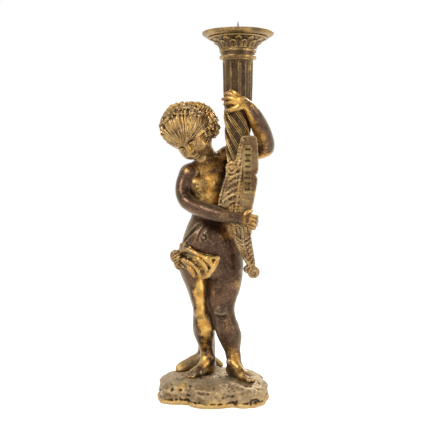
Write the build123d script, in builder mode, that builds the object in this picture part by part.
from build123d import *
import math
import os

os.makedirs("parts", exist_ok=True)

# A bronze candlestick in millimetres: a draped figure on a rocky mound holds a fluted
# column that carries a drip pan. X to the right, front at -Y, Z up, origin in the rest face.

# Fits
running_gap = 0.05
seat_gap = 0.3
bore_end_gap = 0.5

# Points on the outline of each oval section
oval_points = 12

# Rocky mound, its hollow and its closing plate
mound_half_width = 73.0
mound_half_depth = 69.0
mound_height = 28.0
mound_squareness = 2.6
mound_lobes = 5
mound_lobe_depth = 0.030
mound_corners = 26
mound_top_wall = 8.0
mound_side_wall = 9.0
plate_ledge = 2.0
mound_levels = ((0.0, 0.975), (0.32, 0.985), (0.52, 1.0), (0.82, 0.965), (1.0, 0.90))
plate_thickness = 2.0
plate_screw_radius = 1.5
plate_screw_head = 3.2
plate_screw_length = 9.0
plate_boss_radius = 6.0
boss_overlap = 1.0
plate_boss_circle = 44.0
plate_screws = 3
plate_screw_turn = 25.0

# Screws that hold the feet and the stump down
foot_screw_radius = 2.5
foot_screw_head_radius = 4.4
foot_screw_head_height = 3.5
foot_screw_reach = 11.0
foot_screw_offset = 4.0
washer_radius = 6.0
washer_thickness = 1.0

# Column and its tie rod
column_x = 32.6
column_y = -14.0
column_foot_z = 262.0
column_top_z = 447.5
column_profile = (
    (0.0, 9.6),
    (0.13, 11.6),
    (0.33, 14.2),
    (0.52, 16.4),
    (0.68, 18.2),
    (0.79, 19.1),
    (1.0, 19.8),
)
column_wall = 4.5
column_flutes = 12
flute_radius = 2.6
flute_top_margin = 6.0
flute_bottom_z = 395.0
flute_sink = 0.9
column_bottom_boss = 10.0
tip_ball_excess = 0.1
tip_length = 24.0
tip_end_radius = 4.2
rod_radius = 3.0
rod_tip_thread = 12.0
rod_nut_across = 10.0
rod_nut_height = 4.5
rod_washer_radius = 7.5

# Collars, capital and drip pan
collar_radius = 24.1
collar_height = 4.0
collar_neck_radius = 22.2
collar_neck_height = 4.2
collar_edge = 1.2
capital_height = 15.2
capital_neck_radius = 23.4
capital_rim_radius = 38.6
capital_recess_radius = 11.0
capital_floor = 5.0
capital_steps = 7
capital_flare_power = 1.9
pan_foot_radius = 38.2
pan_rim_radius = 46.8
pan_height = 6.8
pan_floor_thickness = 2.0
pan_wall = 1.8
pan_floor_radius = 35.0
pan_curve = ((0.45, 0.22), (1.0, 0.72), (1.0, 0.9))
pan_spigot_radius = 10.9
pan_spigot_wall = 3.0
pan_spigot_depth = 3.0

# Pricket for the candle
pricket_radius = 3.4
pricket_height = 17.5
pricket_flange_radius = 7.0
pricket_flange_height = 1.6
pricket_shank_radius = 2.5
pricket_nut_across = 8.0
pricket_nut_height = 3.0
pricket_shank_stub = 0.6
pricket_tip_radius = 0.4

# Trunk of the figure: height, centre X, centre Y, half width, half depth
hip_z = 172.0
trunk_sections = (
    (172.0, -3.0, 8.0, 43.5, 26.0),
    (192.0, -2.5, 8.0, 43.5, 27.0),
    (211.0, -2.0, 7.0, 39.5, 26.0),
    (228.0, -2.0, 7.0, 33.5, 23.5),
    (246.0, -1.5, 7.0, 26.5, 21.0),
    (268.0, -5.0, 6.0, 25.0, 21.5),
    (290.0, -8.0, 6.0, 24.0, 20.5),
    (306.0, -8.0, 6.0, 22.0, 17.5),
    (320.0, -7.0, 5.0, 14.5, 12.5),
)
neck_radius = 11.0
neck_bottom = Vector(-7.0, 4.0, 320.0)
neck_top = Vector(-16.0, -5.0, 337.0)
neck_taper = 0.9
neck_stub = 12.0
neck_clearance = 4.0

# Head: centre and radius of the skull, the gathered hair and the lower face
skull = (Vector(-38.0, -13.0, 360.0), 32.5)
gathered_hair = (Vector(-13.0, -8.0, 367.0), 20.5)
lower_face = (Vector(-22.0, -22.0, 341.0), 20.0)

# Arms: points from the shoulder to the hand and their radii
right_arm_points = (
    Vector(-31.0, 2.0, 298.0),
    Vector(-40.5, -3.0, 284.0),
    Vector(-38.5, -11.0, 268.0),
    Vector(-28.0, -20.0, 257.5),
    Vector(-4.0, -36.0, 248.0),
    Vector(17.0, -44.5, 242.5),
    Vector(37.0, -44.0, 238.0),
)
right_arm_radii = (11.5, 9.5, 9.4, 9.8, 9.0, 7.6, 5.6)
right_hand_tip = Vector(50.5, -42.5, 236.5)
right_hand_radius = 5.0
left_arm_points = (
    Vector(19.5, 13.4, 322.5),
    Vector(44.0, 11.4, 327.0),
    Vector(69.0, 1.0, 331.5),
    Vector(61.5, -18.0, 357.0),
    Vector(53.0, -33.5, 376.0),
    Vector(46.0, -38.5, 386.0),
)
left_arm_radii = (12.0, 11.2, 12.0, 10.6, 8.0, 6.4)
left_hand_tip = Vector(27.0, -39.2, 393.0)
left_hand_radius = 4.4
shoulder_stub = 12.0
stub_taper = 0.85

# Legs: height, centre X, centre Y, half width, half depth
right_leg_sections = (
    (172.0, -27.0, 8.0, 19.0, 22.5),
    (147.0, -23.2, 5.5, 13.6, 19.0),
    (116.0, -17.6, 1.0, 9.4, 13.5),
    (100.0, -14.3, 4.0, 13.4, 13.5),
    (83.0, -12.3, 9.0, 14.6, 14.5),
    (66.0, -10.0, 12.5, 10.6, 11.0),
    (54.0, -7.8, 14.0, 8.6, 9.0),
)
left_leg_sections = (
    (172.0, 16.8, 8.0, 23.2, 22.5),
    (147.0, 14.7, 4.0, 22.4, 19.0),
    (119.0, 12.2, -3.0, 17.0, 15.0),
    (104.0, 15.8, -3.0, 15.4, 14.0),
    (82.0, 21.6, 2.0, 17.2, 15.0),
    (64.0, 25.0, 3.0, 12.0, 11.0),
    (54.0, 26.0, 2.0, 9.4, 9.6),
)
foot_length = 54.0
foot_width = 19.0
instep_half_length = 19.5
instep_half_width = 8.8
right_foot_middle = Vector(-15.5, 2.0, 0.0)
right_foot_heading = -130.0
left_foot_middle = Vector(36.0, -16.5, 0.0)
left_foot_heading = -52.0

# Loincloth
cloth_thickness = 3.0
cloth_slack = 0.6
cloth_top_z = 191.0
cloth_bottom_z = 160.0
cloth_front_edge_x = 8.0
cloth_back_edge_x = 24.0
knot_z = 186.0
knot_turn = 200.0
knot_radius = 8.6
knot_stand = 2.6

# Stump behind the figure's right leg: height, centre X, centre Y, half width, half depth,
# and the root that runs out to the left at its foot
stump_sections = (
    (46.0, -9.5, 44.5, 12.8, 12.8),
    (95.0, -9.0, 43.0, 11.5, 11.5),
    (150.0, -12.0, 38.0, 10.5, 10.5),
)
root_middle = (-24.6, 38.5)
root_half_length = 27.0
root_half_width = 12.0
root_heading = 210.0
stump_screw_place = Vector(-13.0, 41.0, 0.0)

# Stringed instrument, on a plane that leans with it
lute_top = Vector(45.5, -30.8, 346.0)
lute_lean = 4.6
lute_thickness = 12.0
lute_neck_thickness = 9.0
lute_body_outline = (
    (36.0, 341.0), (40.0, 346.0), (51.0, 346.0), (55.5, 341.0), (57.0, 305.0), (51.5, 295.5),
    (56.0, 290.0), (48.0, 245.0), (47.5, 234.0), (26.0, 234.0), (8.0, 256.0), (17.5, 296.0),
    (20.0, 305.0), (29.5, 315.0),
)
lute_neck_outline = (
    (26.0, 234.0), (47.5, 234.0), (49.5, 219.0), (52.0, 203.0), (55.5, 182.0), (55.0, 174.0),
    (46.0, 174.0), (43.0, 182.0), (36.0, 193.0), (30.0, 205.0), (25.5, 219.0),
)
scroll_centre = (51.8, 171.0)
scroll_radius = 9.3
scroll_width = 13.0
key_bar_width = 11.0
key_bar_top_z = 336.0
key_bar_bottom_z = 274.0
key_bar_x = 44.5
key_bar_thickness = 2.4
key_count = 8
key_width = 7.0
key_height = 2.6
key_lift = 2.0
rosette_radius = 6.0
rosette_x = 40.5
rosette_z = 262.0
rosette_thickness = 2.2

# Dowels and pins that join the castings
dowel_radius = 3.5
hip_dowel_radius = 5.0
dowel_reach = 9.0
hip_dowel_reach = 14.0
pin_radius = 1.5
lute_pin_x = 37.0
lute_pin_heights = (330.0, 284.0)
lute_pin_outer_reach = 7.0
lute_pin_inner_reach = 7.0
arm_screw_radius = 2.0
arm_screw_head_radius = 3.6
arm_screw_head_depth = 2.0
arm_screw_bite = 4.0
arm_screw_sink = 0.5


def save(piece, name):
    piece.label = name
    export_step(piece, f"parts/{name}.step")


def spread(fraction, low, high):
    return low + fraction * (high - low)


def oval(height, middle_x, middle_y, half_width, half_depth, heading=0.0):
    """A level oval face whose outline always starts on its own long side."""
    outline = []
    for i in range(oval_points):
        turn = 2 * math.pi * i / oval_points
        across = half_width * math.cos(turn)
        along = half_depth * math.sin(turn)
        swing = math.radians(heading)
        outline.append(
            (
                middle_x + across * math.cos(swing) - along * math.sin(swing),
                middle_y + across * math.sin(swing) + along * math.cos(swing),
            )
        )
    with BuildSketch(Plane.XY.offset(height)) as level:
        with BuildLine():
            Spline(*outline, periodic=True)
        make_face()
    return level.sketch


def smooth_stack(sections, grow=0.0):
    """A solid lofted through level ovals, given as height, centre and half sizes."""
    with BuildPart() as stack:
        loft([oval(z, x, y, wide + grow, deep + grow) for z, x, y, wide, deep in sections], ruled=True)
    return stack.part


def tapered_rod(start, end, start_radius, end_radius):
    """A straight tapered solid between two points."""
    span = end - start
    with BuildPart() as rod:
        with BuildSketch(Plane(origin=start, z_dir=span)):
            Circle(start_radius)
        with BuildSketch(Plane(origin=end, z_dir=span)):
            Circle(end_radius)
        loft()
    return rod.part


def ball(centre, radius):
    with BuildPart() as round_end:
        with Locations(centre):
            Sphere(radius)
    return round_end.part


def jointed_limb(points, radii, grow=0.0):
    """Tapered lengths between the points, with a ball at each bend and at the far end."""
    ball_excess = 0.15
    with BuildPart() as limb:
        for i in range(len(points) - 1):
            add(tapered_rod(points[i], points[i + 1], radii[i] + grow, radii[i + 1] + grow))
            add(ball(points[i + 1], radii[i + 1] + grow + ball_excess))
    return limb.part


def peg(middle, direction, radius, reach_back, reach_on):
    """A round pin along a direction, from behind its middle point to beyond it."""
    with BuildPart() as pin:
        with BuildSketch(Plane(origin=middle, z_dir=direction).offset(-reach_back)):
            Circle(radius)
        extrude(amount=reach_back + reach_on)
    return pin.part


def peg_bore(middle, direction, radius, reach_back, reach_on):
    return peg(middle, direction, radius + running_gap, reach_back + bore_end_gap, reach_on + bore_end_gap)


def mound_ring(height, share, inset=0.0):
    """One level of the mound: a rounded square with lobes, as a many-sided face."""
    corners = []
    for i in range(mound_corners):
        turn = 2 * math.pi * i / mound_corners
        across = abs(math.cos(turn)) / mound_half_width
        along = abs(math.sin(turn)) / mound_half_depth
        reach = (across**mound_squareness + along**mound_squareness) ** (-1 / mound_squareness)
        lobe = mound_lobe_depth * math.cos(mound_lobes * turn + 0.8)
        reach = reach * share * (1 - mound_lobe_depth + lobe) - inset
        corners.append((reach * math.cos(turn), reach * math.sin(turn)))
    with BuildSketch(Plane.XY.offset(height)) as ring:
        with BuildLine():
            Polyline(*corners, close=True)
        make_face()
    return ring.sketch


def foot_shape(middle, heading, ankle):
    """A foot from a long oval sole up to the ankle's oval."""
    ankle_z, ankle_x, ankle_y, ankle_half_width, ankle_half_depth = ankle
    instep_share = 0.36
    instep_z = spread(instep_share, mound_height, ankle_z)
    instep_x = spread(instep_share, middle.X, ankle_x)
    instep_y = spread(instep_share, middle.Y, ankle_y)
    with BuildPart() as foot:
        loft(
            [
                oval(mound_height, middle.X, middle.Y, foot_length / 2, foot_width / 2, heading),
                oval(instep_z, instep_x, instep_y, instep_half_length, instep_half_width, heading),
                oval(ankle_z, ankle_x, ankle_y, ankle_half_width, ankle_half_depth),
            ]
        )
    return foot.part


# Places worked out from the sizes above
cavity_top_z = mound_height - mound_top_wall
boss_turns = [math.radians(plate_screw_turn + 360 * i / plate_screws) for i in range(plate_screws)]
boss_points = [plate_boss_circle * Vector(math.cos(turn), math.sin(turn), 0) for turn in boss_turns]
right_ankle = right_leg_sections[-1]
left_ankle = left_leg_sections[-1]
foot_screw_points = [
    Vector(right_ankle[1], right_ankle[2] - foot_screw_offset, 0),
    Vector(left_ankle[1], left_ankle[2] - foot_screw_offset, 0),
    stump_screw_place,
]
capital_bottom_z = column_top_z + 2 * collar_height + collar_neck_height
capital_top_z = capital_bottom_z + capital_height
recess_floor_z = capital_bottom_z + capital_floor
pan_bottom_z = capital_top_z + seat_gap
pan_floor_z = pan_bottom_z + pan_floor_thickness
pan_rim_z = pan_bottom_z + pan_height
rod_bottom_z = column_foot_z - rod_tip_thread
rod_top_z = recess_floor_z + washer_thickness + rod_nut_height


def on_column(height):
    return Vector(column_x, column_y, height)


# Hollow cast mound with bosses for the closing plate
with BuildPart() as base_mound:
    loft([mound_ring(level * mound_height, share) for level, share in mound_levels], ruled=True)
    loft(
        [
            mound_ring(plate_thickness, mound_levels[0][1], mound_side_wall),
            mound_ring(cavity_top_z, mound_levels[-1][1], mound_side_wall),
        ],
        ruled=True,
        mode=Mode.SUBTRACT,
    )
    loft(
        [
            mound_ring(0, mound_levels[0][1], mound_side_wall - plate_ledge),
            mound_ring(plate_thickness, mound_levels[0][1], mound_side_wall - plate_ledge),
        ],
        ruled=True,
        mode=Mode.SUBTRACT,
    )
    for point in boss_points:
        with BuildSketch(Plane.XY.offset(plate_thickness)):
            with Locations((point.X, point.Y)):
                Circle(plate_boss_radius)
        extrude(amount=cavity_top_z + boss_overlap - plate_thickness)
        with BuildSketch(Plane.XY.offset(plate_thickness)):
            with Locations((point.X, point.Y)):
                Circle(plate_screw_radius + running_gap)
        extrude(amount=plate_screw_length - plate_thickness + bore_end_gap, mode=Mode.SUBTRACT)
    for point in foot_screw_points:
        with BuildSketch(Plane.XY.offset(cavity_top_z)):
            with Locations((point.X, point.Y)):
                Circle(foot_screw_radius + running_gap)
        extrude(amount=2 * mound_top_wall, mode=Mode.SUBTRACT)
save(base_mound.part, "base_mound")

# Plate that closes the underside, flush with the rest face
with BuildPart() as closing_plate:
    plate_inset = mound_side_wall - plate_ledge + seat_gap
    loft(
        [
            mound_ring(0, mound_levels[0][1], plate_inset),
            mound_ring(plate_thickness, mound_levels[0][1], plate_inset),
        ],
        ruled=True,
    )
    for point in boss_points:
        with Locations((point.X, point.Y, plate_thickness)):
            Cone(
                plate_screw_head + running_gap,
                plate_screw_radius + running_gap,
                plate_thickness,
                align=(Align.CENTER, Align.CENTER, Align.MAX),
                mode=Mode.SUBTRACT,
            )
save(closing_plate.part, "closing_plate")

# Countersunk screws of the closing plate
with BuildPart() as plate_screws_piece:
    for point in boss_points:
        with Locations((point.X, point.Y, 0)):
            Cone(
                plate_screw_head,
                plate_screw_radius,
                plate_thickness,
                align=(Align.CENTER, Align.CENTER, Align.MIN),
            )
            Cylinder(plate_screw_radius, plate_screw_length, align=(Align.CENTER, Align.CENTER, Align.MIN))
save(plate_screws_piece.part, "plate_screws")

# Washers and screws under the feet and the stump
screw_seat_z = cavity_top_z - washer_thickness
with BuildPart() as foot_washers:
    for point in foot_screw_points:
        with BuildSketch(Plane.XY.offset(screw_seat_z)):
            with Locations((point.X, point.Y)):
                Circle(washer_radius)
                Circle(foot_screw_radius + running_gap, mode=Mode.SUBTRACT)
        extrude(amount=washer_thickness)
save(foot_washers.part, "foot_washers")

with BuildPart() as foot_screws:
    for point in foot_screw_points:
        with BuildSketch(Plane.XY.offset(screw_seat_z)):
            with Locations((point.X, point.Y)):
                Circle(foot_screw_radius)
        extrude(amount=mound_height + foot_screw_reach - screw_seat_z)
        with BuildSketch(Plane.XY.offset(screw_seat_z - foot_screw_head_height)):
            with Locations((point.X, point.Y)):
                Circle(foot_screw_head_radius)
        extrude(amount=foot_screw_head_height)
save(foot_screws.part, "foot_screws")


def foot_screw_bore(point):
    mouth = Vector(point.X, point.Y, mound_height)
    return peg_bore(mouth, Vector(0, 0, 1), foot_screw_radius, 0, foot_screw_reach)


# Legs with their feet
hip_joints = (
    Vector(right_leg_sections[0][1], right_leg_sections[0][2], hip_z),
    Vector(left_leg_sections[0][1], left_leg_sections[0][2], hip_z),
)
hip_bores = [
    peg_bore(joint, Vector(0, 0, 1), hip_dowel_radius, hip_dowel_reach, hip_dowel_reach)
    for joint in hip_joints
]

right_leg_form = smooth_stack(right_leg_sections)
right_foot_form = foot_shape(right_foot_middle, right_foot_heading, right_ankle)
with BuildPart() as right_leg:
    add(right_leg_form)
    add(right_foot_form)
    add(hip_bores[0], mode=Mode.SUBTRACT)
    add(foot_screw_bore(foot_screw_points[0]), mode=Mode.SUBTRACT)
save(right_leg.part, "figure_right_leg")

left_leg_form = smooth_stack(left_leg_sections)
left_foot_form = foot_shape(left_foot_middle, left_foot_heading, left_ankle)
with BuildPart() as left_leg:
    add(left_leg_form)
    add(left_foot_form)
    add(hip_bores[1], mode=Mode.SUBTRACT)
    add(foot_screw_bore(foot_screw_points[1]), mode=Mode.SUBTRACT)
save(left_leg.part, "figure_left_leg")

# Arms, each one casting from the shoulder to the hand
right_arm_way = right_arm_points[1] - right_arm_points[0]
left_arm_way = left_arm_points[1] - left_arm_points[0]
right_shoulder_bore = peg_bore(right_arm_points[0], right_arm_way, dowel_radius, dowel_reach, dowel_reach)
left_shoulder_bore = peg_bore(left_arm_points[0], left_arm_way, dowel_radius, dowel_reach, dowel_reach)

with BuildPart() as right_arm:
    add(jointed_limb(right_arm_points, right_arm_radii))
    add(tapered_rod(right_arm_points[-1], right_hand_tip, right_arm_radii[-1], right_hand_radius))
    add(right_shoulder_bore, mode=Mode.SUBTRACT)
save(right_arm.part, "figure_right_arm")

with BuildPart() as left_arm:
    add(jointed_limb(left_arm_points, left_arm_radii))
    add(tapered_rod(left_arm_points[-1], left_hand_tip, left_arm_radii[-1], left_hand_radius))
    add(left_shoulder_bore, mode=Mode.SUBTRACT)

# Head with its neck
neck_way = neck_top - neck_bottom
neck_bore = peg_bore(neck_bottom, neck_way, dowel_radius, dowel_reach, dowel_reach)
with BuildPart() as head:
    add(tapered_rod(neck_bottom, neck_top, neck_radius, neck_radius * neck_taper))
    for centre, radius in (skull, gathered_hair, lower_face):
        add(ball(centre, radius))
    add(neck_bore, mode=Mode.SUBTRACT)
save(head.part, "figure_head")

# Trunk, with flat seats for the neck, the arms and the legs
with BuildPart() as trunk:
    add(smooth_stack(trunk_sections))
    add(
        tapered_rod(
            right_arm_points[0] - right_arm_way.normalized() * shoulder_stub,
            right_arm_points[0],
            right_arm_radii[0] * stub_taper,
            right_arm_radii[0],
        )
    )
    add(
        tapered_rod(
            left_arm_points[0] - left_arm_way.normalized() * shoulder_stub * 2,
            left_arm_points[0],
            left_arm_radii[0] * stub_taper,
            left_arm_radii[0],
        )
    )
    add(
        tapered_rod(
            neck_bottom - neck_way.normalized() * neck_stub,
            neck_bottom,
            neck_radius / neck_taper,
            neck_radius,
        )
    )
    add(jointed_limb(right_arm_points[:4], right_arm_radii[:4], seat_gap), mode=Mode.SUBTRACT)
    add(jointed_limb(left_arm_points[:2], left_arm_radii[:2], seat_gap), mode=Mode.SUBTRACT)
    add(
        peg(neck_bottom, neck_way, neck_radius + neck_clearance, 0, neck_way.length),
        mode=Mode.SUBTRACT,
    )
    for bore in (*hip_bores, right_shoulder_bore, left_shoulder_bore, neck_bore):
        add(bore, mode=Mode.SUBTRACT)
save(trunk.part, "figure_trunk")

# Dowels of the joints
with BuildPart() as hip_dowels:
    for joint in hip_joints:
        add(peg(joint, Vector(0, 0, 1), hip_dowel_radius, hip_dowel_reach, hip_dowel_reach))
save(hip_dowels.part, "hip_dowels")

with BuildPart() as shoulder_dowels:
    add(peg(right_arm_points[0], right_arm_way, dowel_radius, dowel_reach, dowel_reach))
    add(peg(left_arm_points[0], left_arm_way, dowel_radius, dowel_reach, dowel_reach))
save(shoulder_dowels.part, "shoulder_dowels")

save(peg(neck_bottom, neck_way, dowel_radius, dowel_reach, dowel_reach), "neck_dowel")

# Column: a hollow fluted shaft that narrows downwards
column_height = column_top_z - column_foot_z
column_rings = [(column_foot_z + share * column_height, radius) for share, radius in column_profile]


def column_radius(height):
    """The shaft's radius at a height, read along its profile."""
    for (low_z, low_radius), (high_z, high_radius) in zip(column_rings, column_rings[1:]):
        if height <= high_z:
            return spread((height - low_z) / (high_z - low_z), low_radius, high_radius)
    return column_rings[-1][1]


def round_stack(rings, inset=0.0):
    """A solid lofted through level circles on the column's axis."""
    with BuildPart() as stack:
        for height, radius in rings:
            with BuildSketch(Plane.XY.offset(height)):
                with Locations((column_x, column_y)):
                    Circle(radius - inset)
        loft()
    return stack.part


rod_length = rod_top_z - rod_bottom_z
rod_bore = peg(on_column(rod_bottom_z), Vector(0, 0, 1), rod_radius + running_gap, 0, rod_length)
hollow_bottom_z = column_foot_z + column_bottom_boss
hollow_rings = [(hollow_bottom_z, column_radius(hollow_bottom_z))] + [
    ring for ring in column_rings if ring[0] > hollow_bottom_z
]
lute_plane = Plane(
    origin=lute_top,
    x_dir=(1, 0, 0),
    z_dir=(0, -math.cos(math.radians(lute_lean)), -math.sin(math.radians(lute_lean))),
)


def on_lute(x, z):
    """A place of the leaning plane, from the X and Z it shows from the front."""
    return (x - lute_top.X, (z - lute_top.Z) / math.cos(math.radians(lute_lean)))


def lute_point(x, z):
    return lute_plane.from_local_coords(Vector(*on_lute(x, z), 0))


lute_pin_middles = [lute_point(lute_pin_x, z) for z in lute_pin_heights]
lute_pin_bores = [
    peg_bore(middle, lute_plane.z_dir, pin_radius, lute_pin_inner_reach, lute_pin_outer_reach)
    for middle in lute_pin_middles
]

# Screw through the left upper arm into the column
arm_share = (column_x - left_arm_points[0].X) / (left_arm_points[1].X - left_arm_points[0].X)
arm_axis_at_column = left_arm_points[0] + left_arm_way * arm_share
arm_radius_at_column = spread(arm_share, *left_arm_radii[:2])
arm_screw_z = arm_axis_at_column.Z
arm_screw_head_y = arm_axis_at_column.Y + arm_radius_at_column - arm_screw_sink
column_back_y = column_y + column_radius(arm_screw_z)
arm_screw_length = arm_screw_head_y - (column_back_y - arm_screw_bite)


def arm_screw_form(gap):
    head_middle = (column_x, arm_screw_head_y, arm_screw_z)
    head_plane = Plane(origin=head_middle, x_dir=(1, 0, 0), z_dir=(0, -1, 0))
    with BuildPart() as screw:
        with BuildSketch(head_plane):
            Circle(arm_screw_radius + gap)
        extrude(amount=arm_screw_length + gap)
        with BuildSketch(head_plane):
            Circle(arm_screw_head_radius + gap)
        with BuildSketch(head_plane.offset(arm_screw_head_depth)):
            Circle(arm_screw_radius + gap)
        loft()
    return screw.part


save(arm_screw_form(0), "arm_screw")
with BuildPart() as left_arm_drilled:
    add(left_arm.part)
    add(arm_screw_form(running_gap), mode=Mode.SUBTRACT)
    with BuildSketch(Plane(origin=(column_x, arm_screw_head_y, arm_screw_z), z_dir=(0, 1, 0))):
        Circle(arm_screw_head_radius + running_gap)
    extrude(amount=arm_screw_head_radius, mode=Mode.SUBTRACT)
save(left_arm_drilled.part, "figure_left_arm")

flute_top_z = column_top_z - flute_top_margin
with BuildPart() as column_shaft:
    add(round_stack(column_rings))
    add(round_stack(hollow_rings, column_wall), mode=Mode.SUBTRACT)
    add(rod_bore, mode=Mode.SUBTRACT)
    for i in range(column_flutes):
        turn = 2 * math.pi * (i + 0.5) / column_flutes
        away = Vector(math.cos(turn), math.sin(turn), 0)
        low = on_column(flute_bottom_z) + away * (column_radius(flute_bottom_z) + flute_sink)
        high = on_column(flute_top_z) + away * (column_radius(flute_top_z) + flute_sink)
        add(tapered_rod(low, high, flute_radius, flute_radius), mode=Mode.SUBTRACT)
    for bore in lute_pin_bores:
        add(bore, mode=Mode.SUBTRACT)
    add(arm_screw_form(running_gap), mode=Mode.SUBTRACT)
save(column_shaft.part, "column_shaft")

# Pointed end below the shaft, screwed on the tie rod
with BuildPart() as column_tip:
    add(round_stack([(column_foot_z, column_profile[0][1]), (column_foot_z - tip_length, tip_end_radius)]))
    add(ball(on_column(column_foot_z - tip_length), tip_end_radius + tip_ball_excess))
    add(rod_bore, mode=Mode.SUBTRACT)
save(column_tip.part, "column_tip")

save(peg(on_column(rod_bottom_z), Vector(0, 0, 1), rod_radius, 0, rod_length), "tie_rod")


def disc(bottom_z, height, radius, hole_radius):
    """A round plate with a hole on the column's axis."""
    with BuildPart() as plate:
        with BuildSketch(Plane.XY.offset(bottom_z)):
            with Locations((column_x, column_y)):
                Circle(radius)
                Circle(hole_radius, mode=Mode.SUBTRACT)
        extrude(amount=height)
    return plate.part


def hexagon_nut(bottom_z, height, across_flats, hole_radius):
    with BuildPart() as nut:
        with BuildSketch(Plane.XY.offset(bottom_z)):
            with Locations((column_x, column_y)):
                RegularPolygon(across_flats / 2, 6, major_radius=False)
                Circle(hole_radius, mode=Mode.SUBTRACT)
        extrude(amount=height)
    return nut.part


# Turned collars between the shaft and the capital
rod_hole = rod_radius + running_gap
collar_neck_z = column_top_z + collar_height
upper_collar_z = collar_neck_z + collar_neck_height
for name, bottom_z in (("lower_collar", column_top_z), ("upper_collar", upper_collar_z)):
    with BuildPart() as collar:
        add(disc(bottom_z, collar_height, collar_radius, rod_hole))
        fillet(collar.edges().filter_by(GeomType.CIRCLE).sort_by(SortBy.RADIUS)[-2:], collar_edge)
    save(collar.part, name)
save(disc(collar_neck_z, collar_neck_height, collar_neck_radius, rod_hole), "collar_neck")


def turned(profile_points):
    """A solid of revolution about the column's axis, from radius and height pairs."""
    with BuildPart() as turning:
        with BuildSketch(Plane(origin=on_column(0), x_dir=(1, 0, 0), z_dir=(0, -1, 0))):
            with BuildLine():
                Polyline(*profile_points, close=True)
            make_face()
        revolve(axis=Axis(on_column(0), (0, 0, 1)))
    return turning.part


# Capital: a flared bell with a recess for the rod's nut
capital_flare = [
    (
        spread((i / capital_steps) ** capital_flare_power, capital_neck_radius, capital_rim_radius),
        spread(i / capital_steps, capital_bottom_z, capital_top_z),
    )
    for i in range(capital_steps + 1)
]
save(
    turned(
        [(rod_hole, capital_bottom_z)]
        + capital_flare
        + [
            (capital_recess_radius, capital_top_z),
            (capital_recess_radius, recess_floor_z),
            (rod_hole, recess_floor_z),
        ]
    ),
    "capital",
)
save(disc(recess_floor_z, washer_thickness, rod_washer_radius, rod_hole), "rod_washer")
save(hexagon_nut(recess_floor_z + washer_thickness, rod_nut_height, rod_nut_across, rod_hole), "rod_nut")

# Drip pan with a spigot that drops into the capital's recess
shank_hole = pricket_shank_radius + running_gap
spigot_bottom_z = pan_bottom_z - pan_spigot_depth
save(
    turned(
        [
            (shank_hole, pan_bottom_z),
            (pan_spigot_radius - pan_spigot_wall, pan_bottom_z),
            (pan_spigot_radius - pan_spigot_wall, spigot_bottom_z),
            (pan_spigot_radius, spigot_bottom_z),
            (pan_spigot_radius, pan_bottom_z),
            (pan_foot_radius, pan_bottom_z),
            *[
                (spread(out, pan_foot_radius, pan_rim_radius), spread(up, pan_bottom_z, pan_rim_z))
                for out, up in pan_curve
            ],
            (pan_rim_radius - pan_wall / 2, pan_rim_z),
            (pan_rim_radius - pan_wall, pan_rim_z),
            (pan_floor_radius, pan_floor_z),
            (shank_hole, pan_floor_z),
        ]
    ),
    "drip_pan",
)

# Pricket and its nut, which travel with the pan
pricket_nut_z = pan_bottom_z - pricket_nut_height
save(
    turned(
        [
            (0, pricket_nut_z - pricket_shank_stub),
            (pricket_shank_radius, pricket_nut_z - pricket_shank_stub),
            (pricket_shank_radius, pan_floor_z),
            (pricket_flange_radius, pan_floor_z),
            (pricket_flange_radius, pan_floor_z + pricket_flange_height),
            (pricket_radius, pan_floor_z + pricket_flange_height),
            (pricket_tip_radius, pan_floor_z + pricket_flange_height + pricket_height),
            (0, pan_floor_z + pricket_flange_height + pricket_height),
        ]
    ),
    "pricket",
)
save(hexagon_nut(pricket_nut_z, pricket_nut_height, pricket_nut_across, shank_hole), "pricket_nut")

# Loincloth round the hips, and its knot
cloth_middle = (trunk_sections[0][1] + trunk_sections[1][1]) / 2
cloth_inner = (trunk_sections[1][3] + cloth_slack, trunk_sections[1][4] + cloth_slack)


def hip_oval(thickness):
    with BuildPart() as cylinder:
        with BuildSketch(Plane.XY.offset(cloth_bottom_z)):
            with Locations((cloth_middle, trunk_sections[0][2])):
                Ellipse(cloth_inner[0] + thickness, cloth_inner[1] + thickness)
        extrude(amount=cloth_top_z - cloth_bottom_z + knot_radius)
    return cylinder.part


cloth_reach = 2 * mound_half_width
with BuildPart() as loincloth:
    add(hip_oval(cloth_thickness))
    add(hip_oval(0), mode=Mode.SUBTRACT)
    for sections in (trunk_sections, right_leg_sections, left_leg_sections):
        add(smooth_stack(sections, seat_gap), mode=Mode.SUBTRACT)
    with BuildSketch(Plane.XY.offset(cloth_top_z)):
        Rectangle(cloth_reach, cloth_reach)
    extrude(amount=2 * knot_radius, mode=Mode.SUBTRACT)
    with BuildSketch(Plane.XY.offset(cloth_bottom_z)):
        with BuildLine():
            Polyline(
                (cloth_front_edge_x, -cloth_reach),
                (cloth_front_edge_x, trunk_sections[0][2]),
                (cloth_back_edge_x, trunk_sections[0][2]),
                (cloth_back_edge_x, cloth_reach),
                (cloth_reach, cloth_reach),
                (cloth_reach, -cloth_reach),
                close=True,
            )
        make_face()
    extrude(amount=cloth_top_z - cloth_bottom_z, mode=Mode.SUBTRACT)
save(loincloth.part, "loincloth")

# The knot is a ball cut flat where it lies against the cloth
knot_angle = math.radians(knot_turn)
cloth_outer = (cloth_inner[0] + cloth_thickness, cloth_inner[1] + cloth_thickness)
knot_seat = Vector(
    cloth_middle + cloth_outer[0] * math.cos(knot_angle),
    trunk_sections[0][2] + cloth_outer[1] * math.sin(knot_angle),
    knot_z,
)
knot_slope = (math.cos(knot_angle) / cloth_outer[0], math.sin(knot_angle) / cloth_outer[1])
knot_way = Vector(*knot_slope, 0).normalized()
with BuildPart() as loincloth_knot:
    add(ball(knot_seat + knot_way * knot_stand, knot_radius))
    split(bisect_by=Plane(origin=knot_seat + knot_way * seat_gap, z_dir=knot_way), keep=Keep.TOP)
save(loincloth_knot.part, "loincloth_knot")

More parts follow.
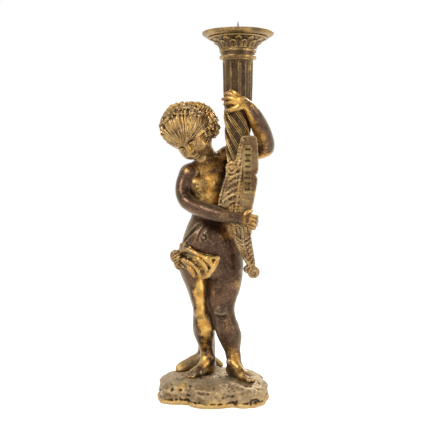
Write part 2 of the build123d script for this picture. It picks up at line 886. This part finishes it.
# Stump with its root, behind the right leg
root_sole = oval(mound_height, *root_middle, root_half_length, root_half_width, root_heading)
stump_levels = [oval(*section, root_heading) for section in stump_sections]
with BuildPart() as stump:
    loft([root_sole, *stump_levels], ruled=True)
    add(foot_screw_bore(stump_screw_place), mode=Mode.SUBTRACT)
save(stump.part, "tree_stump")

# Instrument: body, neck with its scroll, key bar, keys and rosette
with BuildPart() as lute_body:
    with BuildSketch(lute_plane):
        with BuildLine():
            Polyline(*[on_lute(x, z) for x, z in lute_body_outline], close=True)
        make_face()
    extrude(amount=lute_thickness)
    for bore in lute_pin_bores:
        add(bore, mode=Mode.SUBTRACT)
save(lute_body.part, "instrument_body")

with BuildPart() as lute_neck:
    with BuildSketch(lute_plane.offset((lute_thickness - lute_neck_thickness) / 2)):
        with BuildLine():
            Polyline(*[on_lute(x, z) for x, z in lute_neck_outline], close=True)
        make_face()
    extrude(amount=lute_neck_thickness)
    with BuildSketch(lute_plane.offset((lute_thickness - scroll_width) / 2)):
        with Locations(on_lute(*scroll_centre)):
            Circle(scroll_radius)
    extrude(amount=scroll_width)
save(lute_neck.part, "instrument_neck")

front_plane = lute_plane.offset(lute_thickness)
with BuildPart() as key_bar:
    with BuildSketch(front_plane):
        with Locations(on_lute(key_bar_x, (key_bar_top_z + key_bar_bottom_z) / 2)):
            RectangleRounded(key_bar_width, key_bar_top_z - key_bar_bottom_z, key_bar_width / 4)
    extrude(amount=key_bar_thickness)
save(key_bar.part, "instrument_key_bar")

key_pitch = (key_bar_top_z - key_bar_bottom_z) / (key_count + 0.5)
with BuildPart() as keys:
    with BuildSketch(front_plane.offset(key_bar_thickness)):
        for i in range(key_count):
            with Locations(on_lute(key_bar_x, key_bar_top_z - (i + 0.75) * key_pitch)):
                Rectangle(key_width, key_height)
    extrude(amount=key_lift)
save(keys.part, "instrument_keys")

with BuildPart() as rosette:
    with BuildSketch(front_plane):
        with Locations(on_lute(rosette_x, rosette_z)):
            Circle(rosette_radius)
    extrude(amount=rosette_thickness)
save(rosette.part, "instrument_rosette")

with BuildPart() as lute_pins:
    for middle in lute_pin_middles:
        add(peg(middle, lute_plane.z_dir, pin_radius, lute_pin_inner_reach, lute_pin_outer_reach))
save(lute_pins.part, "instrument_pins")
